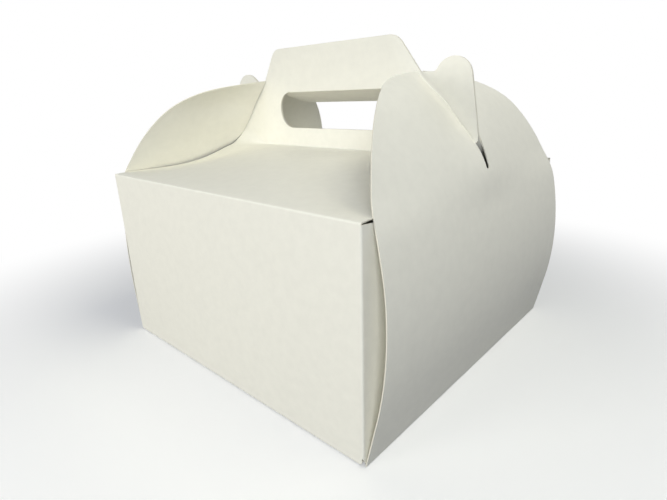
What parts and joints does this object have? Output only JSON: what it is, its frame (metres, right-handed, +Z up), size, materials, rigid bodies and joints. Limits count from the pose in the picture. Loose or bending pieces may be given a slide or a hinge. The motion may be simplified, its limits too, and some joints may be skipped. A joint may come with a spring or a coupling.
{
  "type": "cake box",
  "caption": "Folded white board cake carrier: square base, bowed side petals slotted over an upright handle with a hand hole.",
  "frame": {"origin": "middle of the base panel's underside", "axes": "+Z up through the handle, -Y towards the front wall, +X towards the right petal, along the handle"},
  "size_m": [0.2392, 0.22, 0.1993],
  "materials": {
    "board": "smooth uncoated white board with a faint cream tone"
  },
  "bodies": {
    "carton": {"carton": "board"},
    "petal_left": {"petal_left": "board"},
    "petal_right": {"petal_right": "board"}
  },
  "joints": [
    {"name": "petal_right_fold", "type": "hinge", "parent": "carton", "child": "petal_right", "pos_m": [0.1101, 0, 0.0003], "axis": [0, 1, 0], "range_deg": [0, 76]},
    {"name": "petal_left_fold", "type": "hinge", "parent": "carton", "child": "petal_left", "pos_m": [-0.1101, 0, 0.0003], "axis": [0, -1, 0], "range_deg": [0, 76]}
  ]
}
